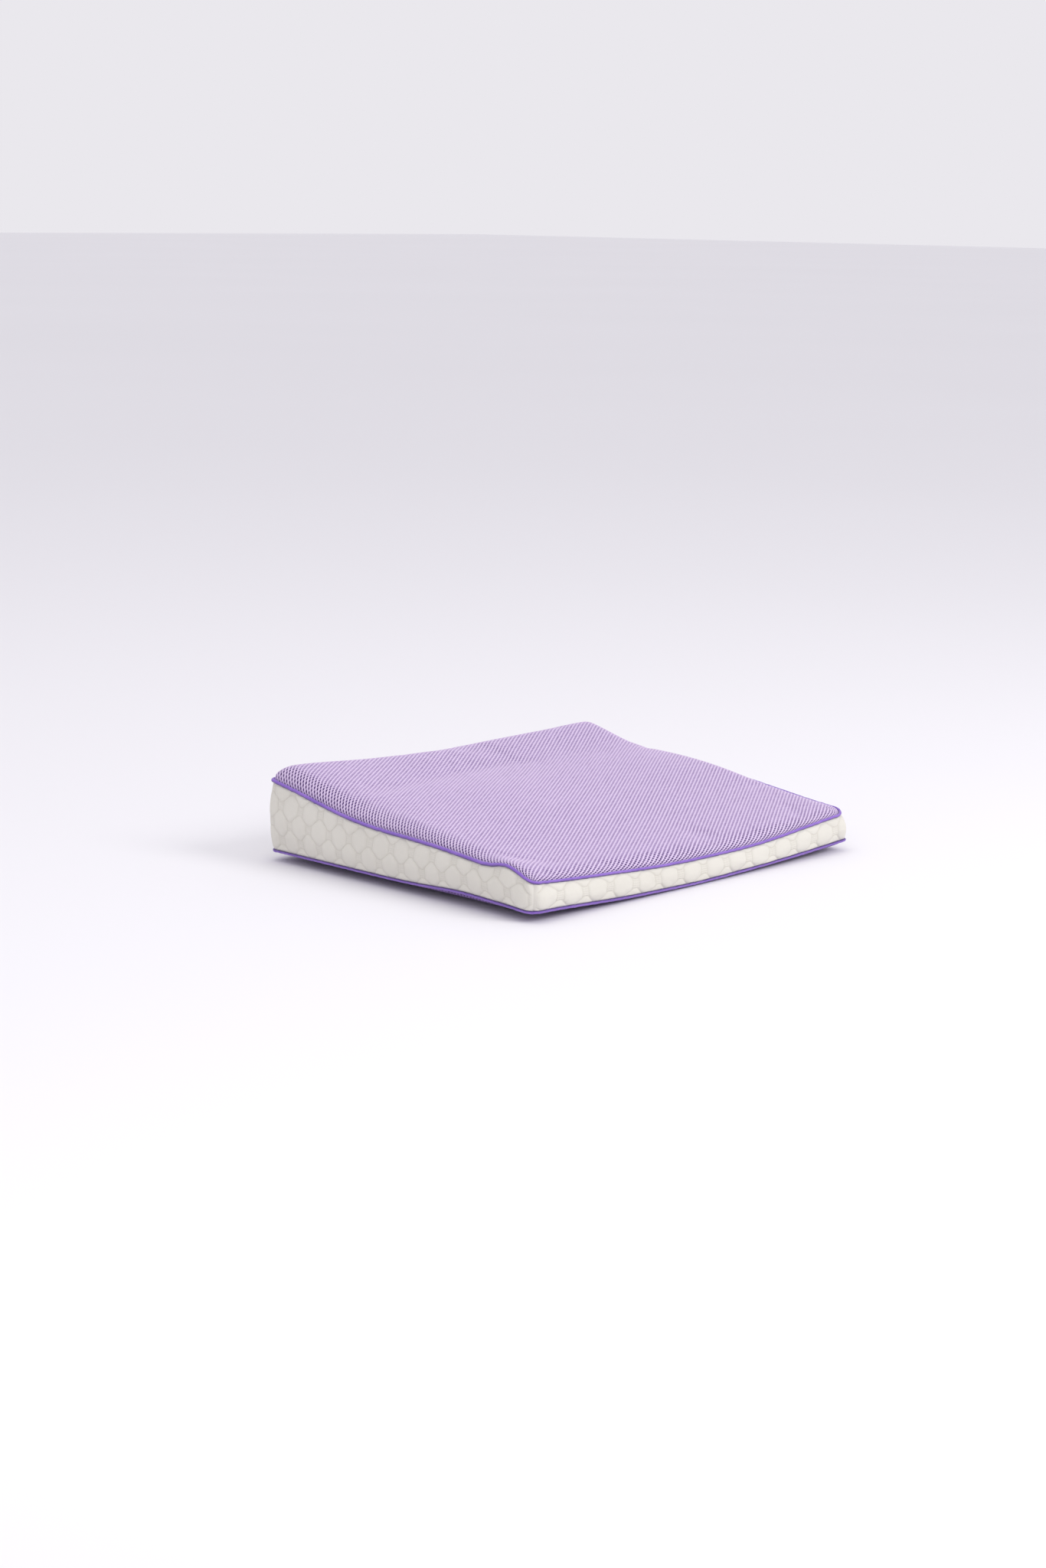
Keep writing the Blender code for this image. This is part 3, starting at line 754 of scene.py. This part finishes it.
def hole_lattice(half_a, half_b):
    """Cells of the mesh fabric in cloth coordinates, each with six corners around one hole."""
    far_x = HOLE_PITCH_X / 2
    far_y = HOLE_PITCH_Y / 2
    # Four corners on the ridges between slanting lines of holes, and two between the holes.
    unit = np.array([[far_x, 0], [far_x / 2, far_y / 2], [0, far_y]])
    unit = np.concatenate([unit, -unit])
    columns = np.arange(-math.ceil(half_a / far_x) - 1, math.ceil(half_a / far_x) + 2)
    rows = np.arange(-math.ceil(half_b / far_y) - 1, math.ceil(half_b / far_y) + 2)
    i, j = np.meshgrid(columns, rows, indexing="ij")
    kept = (i + j) % 2 == 0
    centres = np.stack([i[kept] * far_x, j[kept] * far_y], -1)
    corners = centres[:, None, :] + unit[None]
    inside = (np.abs(corners[..., 0]) < half_a).any(1) & (np.abs(corners[..., 1]) < half_b).any(1)
    return centres[inside], corners[inside]


def hole_outlines(centres, seed):
    """Two outlines of six corners at each hole: of the rim around it, and of the hole."""
    random = np.random.default_rng(seed)
    size = 1 + random.uniform(-HOLE_SIZE_SPREAD, HOLE_SIZE_SPREAD, (len(centres), 1, 1))
    shift = random.uniform(-HOLE_SHIFT, HOLE_SHIFT, (len(centres), 1, 2))
    slant = math.radians(35)
    oval = np.array([[1, 0], [1.12 * math.cos(slant), 1.12 * math.sin(slant)], [0, 1]])
    oval = np.concatenate([oval, -oval]) * (HOLE_HALF_X, HOLE_HALF_Y)
    return [centres[:, None, :] + oval[None] * size * scale + shift for scale in (RIM_SIZE, 1.0)]


def quads_around_holes(cell, rim, hole):
    """Quads from each cell's corners in to its rim, and from the rim in to its hole."""
    faces = []
    for k in range(6):
        n = (k + 1) % 6
        faces.append(np.stack([cell[:, k], cell[:, n], rim[:, n], rim[:, k]], -1))
        faces.append(np.stack([rim[:, k], rim[:, n], hole[:, n], hole[:, k]], -1))
    return np.concatenate(faces)


def mesh_panel(name, surface, half_a, half_b, flip, made_of, seed):
    """A sheet of mesh fabric laid on a surface, with a sunk rim around each real hole.

    The cells along the border are cut off at it, and have no hole.
    """
    centres, corners = hole_lattice(half_a, half_b)
    whole = (np.abs(corners[..., 0]) < half_a).all(1) & (np.abs(corners[..., 1]) < half_b).all(1)
    # A corner that cells share becomes one point.
    keys = np.round(corners * 1e6 / 40).astype(np.int64).reshape(-1, 2)
    _, first, shared = np.unique(keys, axis=0, return_index=True, return_inverse=True)
    flat = corners.reshape(-1, 2)[first]
    cell = shared.reshape(-1, 6)
    flat[:, 0] = np.clip(flat[:, 0], -half_a, half_a)
    flat[:, 1] = np.clip(flat[:, 1], -half_b, half_b)

    rims, holes = hole_outlines(centres[whole], seed)
    everything = np.concatenate([flat, rims.reshape(-1, 2), holes.reshape(-1, 2)])
    phase = flat[:, 1] / HOLE_PITCH_Y - flat[:, 0] / HOLE_PITCH_X
    between = 0.5 + 0.5 * np.cos(2 * math.pi * phase)
    at_each = np.ones(rims.size // 2)
    depth = [between * DEPTH_BETWEEN_HOLES, at_each * DEPTH_OF_RIM, at_each * DEPTH_OF_HOLE]
    u, v = everything[:, 0], everything[:, 1]
    points = surface(u, v) - normals(surface, u, v, flip) * np.concatenate(depth)[:, None]

    rim = len(flat) + np.arange(len(at_each)).reshape(-1, 6)
    quads = quads_around_holes(cell[whole], rim, rim + len(at_each))
    obj = mesh_object(name, points, [quads[:, ::flip], cell[~whole][:, ::flip]], made_of)
    # The depth attribute stores painted shade, not the sinking: how far the yarn darkens into the
    # holes.
    tone = [between * SHADE_BETWEEN_HOLES, at_each * SHADE_OF_RIM, at_each]
    point_values(obj, "depth", np.concatenate(tone))
    point_values(obj, "cloth", np.concatenate([everything, 0 * everything[:, :1]], 1))
    return obj


def backing(name, surface, half_a, half_b, flip, made_of):
    """The mesh's inner layer, a plain sheet under the holes."""
    a = np.linspace(-half_a, half_a, 150)
    b = np.linspace(-half_b, half_b, 120)
    v, u = np.meshgrid(b, a, indexing="ij")
    points = surface(u, v) - normals(surface, u, v, flip) * DEPTH_OF_BACKING
    faces = grid_faces(len(b), len(a))
    return mesh_object(name, points, [faces[:, ::flip]], made_of)


def build_panels():
    """The top and the underside: each is one cut of mesh fabric, with its inner layer."""
    lilac = ("lilac_spacer_mesh", lilac_mesh, lilac_backing)
    purple = ("purple_spacer_mesh", purple_mesh, purple_backing)
    for place, surface, table, flip, (slot, face_cloth, inner_cloth), seed in (
        ("top_mesh", top_surface, TOP_TABLE, 1, lilac, 1),
        ("bottom_mesh", under_surface, UNDER_TABLE, -1, purple, 2),
    ):
        half_a = cloth_half(HALF_W, table) + ALLOWANCE
        half_b = cloth_half(HALF_D, table) + ALLOWANCE
        face = mesh_panel(place + "_cloth", surface, half_a, half_b, flip, face_cloth, seed)
        inner = backing(place + "_backing", surface, half_a, half_b, flip, inner_cloth)
        piece(face, slot, place + "_panel")
        piece(inner, slot)


# --- The quilted bands ---


def quilt(u, v):
    """Relief of the quilting at cloth coordinates, and how much painted shade darkens a point near
    the stitched grooves.
    """
    half_pitch = QUILT_PITCH / 2
    diagonal = math.hypot(half_pitch, QUILT_ROW)
    inside = np.full(np.shape(u), -1.0)
    nearest_row = np.round((v - QUILT_FIRST_ROW) / QUILT_ROW)
    for row in (nearest_row - 1, nearest_row, nearest_row + 1):
        offset = half_pitch * (row % 2)
        du = np.abs((u - offset + half_pitch) % QUILT_PITCH - half_pitch)
        dv = np.abs(v - QUILT_FIRST_ROW - row * QUILT_ROW)
        slanted = (diagonal**2 / 2 - half_pitch * du - QUILT_ROW * dv) / diagonal
        sides = np.stack([QUILT_HALF_WIDTH - du, QUILT_HALF_HEIGHT - dv, slanted])
        # A soft minimum of the distances to the sides, so the octagons' corners are round.
        soft = -QUILT_ROUNDING * np.log(np.exp(-sides / QUILT_ROUNDING).sum(0)) + 0.0001
        inside = np.maximum(inside, soft)
    octagon = ease(inside / QUILT_BLEND + 0.5)
    # Between the octagons are small squares, stitched in a grid of fine lines.
    bars = ease((np.abs((v / QUILT_BAR_PITCH) % 1 - 0.5) * 2 - 0.45) / 0.4)
    posts = ease((np.abs((u / QUILT_POST_PITCH) % 1 - 0.5) * 2 - 0.62) / 0.3)
    stitched = np.maximum(bars, 0.7 * posts)
    puff = QUILT_PUFF * (1 - np.exp(-np.clip(inside, 0, None) / QUILT_PUFF_RUN))
    edge = np.exp(-((inside / QUILT_SEAM) ** 2))
    square = STITCHED_DEPTH - STITCHED_DEPTH * stitched
    relief = puff * octagon + square * (1 - octagon) - STITCHED_DEPTH * edge
    # How much painted shade darkens the stitched grooves and the squares' stitched lines.
    groove_shade = np.maximum(0.7 * edge, 0.5 * stitched * (1 - octagon))
    return relief, groove_shade


def band_height(side, along):
    """Height of the lower seam along a side, and how tall the band is above it."""
    low = lower_seam(*plan_point(side, along, 0, LOW_CORNERS))
    return low, upper_seam(*plan_point(side, along, 0, HIGH_CORNERS)) - low


def warp(u, v, seed):
    """A slow drift of the quilting, as cloth gets when it is sewn by hand."""
    along = 0.0009 * np.sin(u / 0.031 + seed) + 0.0007 * np.sin(u / 0.013 + v / 0.009 + 2 * seed)
    up = 0.0007 * np.sin(u / 0.023 + 3 * seed) + 0.0005 * np.sin(u / 0.011 - v / 0.012 + seed)
    return u + along, v + up * ease(v / 0.010)


def band_grid(name, side, ends, heights, stretch, shift):
    """A quilted band, or a part of one. Each limit in heights is a height above the floor at
    which the cloth is folded in, or None where the band runs to its seam."""
    columns = int(round((ends[1] - ends[0]) / BAND_STEP)) + 1
    rows = BAND_ROWS
    along, share = np.meshgrid(np.linspace(*ends, columns), np.linspace(0, 1, rows))
    low, tall = band_height(side, along)
    limits = [float(k) if at is None else (at - low) / tall for k, at in enumerate(heights)]
    share = limits[0] + (limits[1] - limits[0]) * share
    inwards = np.zeros(rows)
    if heights[0] is not None:
        inwards[:3] = HEM
    if heights[1] is not None:
        inwards[-3:] = HEM[::-1]
    height = share * tall
    relief, groove_shade = quilt(*warp(along / stretch + shift, height, side + 1))

    # The relief dies out where the cloth runs into a seam or a hem.
    to_seam = np.minimum(height, tall - height)
    held = 0
    for at in heights:
        if at is not None:
            to_seam = np.minimum(to_seam, np.abs(low + height - at))
            held = hill(np.abs(low + height - at), STITCH_FROM_EDGE, 0.0012)
    to_end = np.minimum(along - ends[0], ends[1] - along)
    calm = ease((to_seam - 0.0006) / 0.0035) * ease((to_end - 0.0004) / 0.0040)
    tuck = 0.0004 * (1 - ease(to_end / 0.0014)) + 0.0008 * (1 - ease(to_seam / 0.0020))
    if side == BACK:
        # The cloth is pressed smooth beside the zip, where the pull tab passes over it.
        by_zip = hill(low + height, ZIP_HEIGHT, PRESSED_HEIGHT)
        until = BAND_END_INNER + PRESSED_PAST_END
        calm = calm * (1 - by_zip * ease((until - np.abs(along)) / PRESSED_FADE))
    relief = relief * calm * (1 - held) - tuck - inwards[:, None]

    surface = partial(band_surface, side)
    points = surface(along, share) + normals(surface, along, share) * relief[..., None]
    obj = mesh_object(name, points, [grid_faces(rows, columns)], cream_knit)
    point_values(obj, "groove_shade", (groove_shade * calm).ravel())
    point_values(obj, "cloth", np.stack([along, height, 0 * along], -1).reshape(-1, 3))
    return obj


def build_bands():
    """The four sides. The zip divides the back into two strips and two end pieces."""
    whole = (None, None)
    lower_edge, upper_edge = ZIP_HEIGHT - ZIP_OPENING_HALF, ZIP_HEIGHT + ZIP_OPENING_HALF
    end = BAND_END_INNER
    for name, side, ends, heights, stretch, shift in (
        ("front_band", FRONT, (-HALF_W, HALF_W), whole, 1.19, 0.0100),
        ("left_band", LEFT, (-HALF_D, HALF_D), whole, 1.0, 0.0060),
        ("right_band", RIGHT, (-HALF_D, HALF_D), whole, 1.0, 0.0100),
        ("back_band_lower", BACK, (-end, end), (None, lower_edge), 1.0, 0.0),
        ("back_band_upper", BACK, (-end, end), (upper_edge, None), 1.0, 0.0),
        ("back_band_right_end", BACK, (-HALF_W, -end), whole, 1.0, 0.0),
        ("back_band_left_end", BACK, (end, HALF_W), whole, 1.0, 0.0),
    ):
        made = band_grid(name + "_cloth", side, ends, heights, stretch, shift)
        piece(made, "cream_quilted_knit", name)
        _, tall = band_height(side, np.linspace(*ends, 50))
        low, _ = band_height(side, 0.0)


# --- The piping ---


def seam_path(corners, height_at, out):
    """Points along a whole seam, counter-clockwise from above, with their outward directions."""
    plans = []
    for side, half in SIDES:
        along = np.linspace(-half, half, int(round(2 * half / SEAM_STEP)), endpoint=False)
        seam = np.stack(plan_point(side, along, 0, corners), -1)
        outside = np.stack(plan_point(side, along, 0.001, corners), -1)
        plans.append((seam, outside))
    seam = np.concatenate([p[0] for p in plans])
    outward = np.concatenate([p[1] for p in plans]) - seam
    outward /= np.linalg.norm(outward, axis=1, keepdims=True)
    z = height_at(seam[:, 0], seam[:, 1])
    line = np.concatenate([seam + outward * out, z[:, None]], 1)
    outward = np.concatenate([outward, 0 * z[:, None]], 1)
    return line, outward


def tube(name, line, outward, radius, made_of, sides, closed=True):
    """A tube along a line of points, with its ends joined or capped."""
    count = len(line)
    if closed:
        ahead = np.roll(line, -1, 0) - np.roll(line, 1, 0)
    else:
        ahead = np.gradient(line, axis=0)
    ahead /= np.linalg.norm(ahead, axis=1, keepdims=True)
    side = outward - ahead * (outward * ahead).sum(1, keepdims=True)
    side /= np.linalg.norm(side, axis=1, keepdims=True)
    up = np.cross(side, ahead)
    angle = np.arange(sides) / sides * 2 * math.pi
    size = radius * np.ones(count)
    ring = side[:, None, :] * np.cos(angle)[None, :, None]
    ring = ring + up[:, None, :] * np.sin(angle)[None, :, None]
    points = line[:, None, :] + ring * size[:, None, None]
    faces = grid_faces(count + 1 if closed else count, sides, closed=True) % (count * sides)
    caps = [] if closed else [[range(sides)[::-1]], [range((count - 1) * sides, count * sides)]]
    obj = mesh_object(name, points, [faces, *caps], made_of)
    length = np.concatenate([[0], np.cumsum(np.linalg.norm(np.diff(line, axis=0), axis=1))])
    flat = np.stack(np.broadcast_arrays(length[:, None], angle[None] * size[:, None], 0.0), -1)
    point_values(obj, "cloth", flat.reshape(-1, 3))
    return obj


def uneven(count, seed):
    """Three rows of smooth waves around a closed seam, about 1 high."""
    random = np.random.default_rng(seed)
    turn = np.arange(count) / count * 2 * math.pi
    waves = np.zeros((3, count))
    for wave in waves:
        for cycles in random.integers(30, 260, PIPING_WAVE_COUNT):
            wave += np.sin(turn * cycles + random.uniform(0, 6.28)) / PIPING_WAVE_COUNT**0.5
    return waves


def build_piping():
    """Cloth folded over a filler cord, slightly uneven, and with another thickness at the left.

    Painted shade marks where it folds in towards the band: down from the upper seam and up from the
    lower one.
    """
    angle = np.arange(PIPING_SIDES) / PIPING_SIDES * 2 * math.pi
    for name, corner, height_at, thicker, band_at, seed in (
        ("top_piping", HIGH_CORNERS, upper_seam, 0.22, -0.75, 5),
        ("bottom_piping", LOW_CORNERS, lower_seam, -0.10, 1.0, 6),
    ):
        line, outward = seam_path(corner, height_at, PIPING_OUT)
        waves = uneven(len(line), seed)
        line[:, 2] += PIPING_WAVE * waves[0]
        line += outward * PIPING_WAVE * 0.8 * waves[1][:, None]
        at_left = ease((0.10 - line[:, 0]) / 0.30) * ease((line[:, 1] + 0.17) / 0.06)
        radius = PIPING * (1 + thicker * at_left) + PIPING_WAVE * 0.3 * waves[2]
        sleeve = tube(name + "_sleeve", line, outward, radius, purple_piping, PIPING_SIDES)
        from_band = (angle - band_at + math.pi) % (2 * math.pi) - math.pi
        # Painted shade along the side of the sleeve that faces the band.
        point_values(sleeve, "fold", np.tile(hill(from_band, 0.0, FOLD_SHADE_WIDTH), len(line)))
        piece(sleeve, "purple_piping", name)
        filler = tube(name + "_filler", line, outward, CORD, cord_fibre, sides=8)
        piece(filler, "white_cord", name + "_cord")


# --- The zip ---


def build_zip_coils():
    """Each coil is one long helix, as wide and as thick as its bar in the CAD."""
    turns = int(2 * COIL_END / COIL_PITCH)
    angle = np.linspace(0, turns, turns * COIL_STEPS + 1) * 2 * math.pi
    for name, middle, start in (
        ("zip_coil_upper", ZIP_HEIGHT + COIL_MIDDLE, 0),
        ("zip_coil_lower", ZIP_HEIGHT - COIL_MIDDLE, math.pi),
    ):
        radial = np.stack([0 * angle, np.sin(angle + start), np.cos(angle + start)], -1)
        line = radial * (0, COIL_DEPTH / 2 - COIL_WIRE, COIL_WIDTH / 2 - COIL_WIRE)
        line += (0, COIL_OUT, middle)
        line[:, 0] += np.linspace(-COIL_END, COIL_END, len(line))
        helix = tube(name + "_helix", line, radial, COIL_WIRE, nylon, sides=5, closed=False)
        piece(helix, "cream_zip_coil", name)


def build_stitches():
    """A row of lockstitches beside each folded edge of the zip's opening."""
    count = int(2 * (BAND_END_INNER - 0.004) / STITCH_PITCH)
    along = (np.arange(count) - (count - 1) / 2) * STITCH_PITCH
    profile = np.linspace(-1, 1, 7)
    angle = np.arange(6) / 6 * 2 * math.pi
    for name, edge, sign in (
        ("zip_stitches_upper", ZIP_HEIGHT + ZIP_OPENING_HALF, 1),
        ("zip_stitches_lower", ZIP_HEIGHT - ZIP_OPENING_HALF, -1),
    ):
        low, tall = band_height(BACK, along)
        share = (edge + sign * STITCH_FROM_EDGE - low) / tall
        middle = band_surface(BACK, along, share)
        size = STITCH_RADIUS * np.sqrt(1.02 - profile**2)
        x = profile[:, None] * STITCH_LENGTH / 2 + 0 * angle
        y = size[:, None] * np.sin(angle) + 0.0001 - 0.00035 * profile[:, None] ** 2
        z = size[:, None] * np.cos(angle)
        stitch = np.stack([x, y, z], -1).reshape(-1, 3)
        points = middle[:, None, :] + stitch[None]
        faces = grid_faces(len(profile), len(angle), closed=True)
        faces = faces[None] + (np.arange(count) * len(stitch))[:, None, None]
        made = mesh_object(name, points, [faces.reshape(-1, 4)], thread)
        piece(made, "cream_quilted_knit")


def dress_zip_parts():
    """The tapes, stops, slider and pull tab are shown as they are in the CAD."""
    for node, made_of in (
        ("zip_tape_upper", zip_tape_cloth),
        ("zip_tape_lower", zip_tape_cloth),
        ("zip_top_stop_upper", nickel),
        ("zip_top_stop_lower", nickel),
        ("zip_bottom_stop", nickel),
        ("zip_slider", nickel),
        ("zip_pull", nickel),
    ):
        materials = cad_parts[node].data.materials
        materials.clear()
        materials.append(made_of)
    soften_edges("zip_slider", 0.00025)
    soften_edges("zip_pull", 0.0002)
    soften_edges("zip_bottom_stop", 0.0001)


def soften_edges(node, width):
    """Rounds the edges of a metal part."""
    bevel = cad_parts[node].modifiers.new("soft_edges", "BEVEL")
    bevel.width = width
    bevel.segments = 3
    bevel.limit_method = "ANGLE"


# --- What is inside ---


def filling(name, depth, made_of, open_back=False):
    """A closed wedge inside the cover, at a depth below it. The liner is open along the back."""
    inset = depth + FILLING_INSET
    columns, rows = FILLING_GRID
    faces, points = [], []
    for surface, table, flip in ((top_surface, TOP_TABLE, 1), (under_surface, UNDER_TABLE, -1)):
        half_a = cloth_half(HALF_W, table) - inset
        half_b = cloth_half(HALF_D, table) - inset
        a = np.linspace(-half_a, half_a, columns)
        b = np.linspace(-half_b, half_b, rows)
        a, b = np.meshgrid(a, b)
        sheet = surface(a, b) - normals(surface, a, b, flip) * depth
        points.append(sheet.reshape(-1, 3))
        grid = grid_faces(rows, columns) + len(faces) * rows * columns
        faces.append(grid[:, ::flip])
    index = np.arange(rows * columns).reshape(rows, columns)
    sides = [index[0, :], index[:, -1], index[-1, ::-1], index[::-1, 0]]
    for side, border in enumerate(sides):
        below = border + rows * columns
        quads = np.stack([below[:-1], below[1:], border[1:], border[:-1]], -1)
        if open_back and side == BACK:
            quads = np.concatenate([quads[:SLOT_FROM_END], quads[-SLOT_FROM_END:]])
        faces.append(quads)
    return mesh_object(name, np.concatenate(points), [np.concatenate(faces)], made_of)


def build_filling():
    foam_wedge = filling("foam_wedge", FOAM_DEPTH, foam)
    piece(foam_wedge, "memory_foam", "foam_core")

    liner_bag = filling("liner_bag", LINER_DEPTH, liner_knit, open_back=True)
    piece(liner_bag, "white_liner_knit", "inner_liner")


# --- Floor, light and camera ---


def build_floor():
    """A plain pale floor, wide enough to reach the horizon."""
    reach = 40.0
    corners = [(-reach, -reach, 0), (reach, -reach, 0), (reach, reach, 0), (-reach, reach, 0)]
    surface = Material("floor", 0.8)
    surface.colour(surface.mix(surface.patches(0.4), (240, 239, 242), (243, 242, 245)))
    floor = mesh_object("floor", corners, [[[0, 1, 2, 3]]], surface.made, smooth=False)


def area_light(name, place, target, size, power, colour=(1.0, 1.0, 1.0)):
    light = bpy.data.lights.new(name, "AREA")
    light.shape = "DISK"
    light.size = size
    light.energy = power
    light.color = colour
    obj = bpy.data.objects.new(name, light)
    obj.location = place
    obj.rotation_euler = (Vector(target) - Vector(place)).to_track_quat("-Z", "Y").to_euler()
    bpy.context.scene.collection.objects.link(obj)


def build_light():
    world = bpy.data.worlds.new("studio")
    world.use_nodes = True
    background = world.node_tree.nodes["Background"]
    background.inputs["Color"].default_value = linear((234, 232, 237))
    background.inputs["Strength"].default_value = 1.0
    bpy.context.scene.world = world
    area_light("key", (0.8, -2.6, 1.9), (0, 0, 0), 1.6, 40, (1.0, 0.995, 0.98))
    area_light("top", (-0.3, 0.3, 2.6), (0, 0, 0), 2.2, 6)
    area_light("front_left", (-1.1, -0.9, 0.7), (-0.2, -0.15, 0.02), 0.7, 1.1)


def build_camera():
    """The photograph's view: from the front left, about 12 degrees down."""
    right = Vector((0.69454, -0.71932, 0.01398))
    up = Vector((0.13115, 0.14570, 0.98060))
    back = right.cross(up)
    camera = bpy.data.cameras.new("camera")
    camera.lens = 66.9
    camera.sensor_width = 36
    camera.clip_end = 200
    obj = bpy.data.objects.new("camera", camera)
    turn = Matrix((right, up, back)).transposed().to_4x4()
    obj.matrix_world = Matrix.Translation((-2.0414, -1.9052, 0.6271)) @ turn
    bpy.context.scene.collection.objects.link(obj)
    bpy.context.scene.camera = obj


# --- The build ---

relax_cover()
build_panels()
build_bands()
build_piping()
build_zip_coils()
build_stitches()
build_filling()
dress_zip_parts()
build_floor()
build_light()
build_camera()
bpy.context.scene.view_settings.view_transform = "Standard"
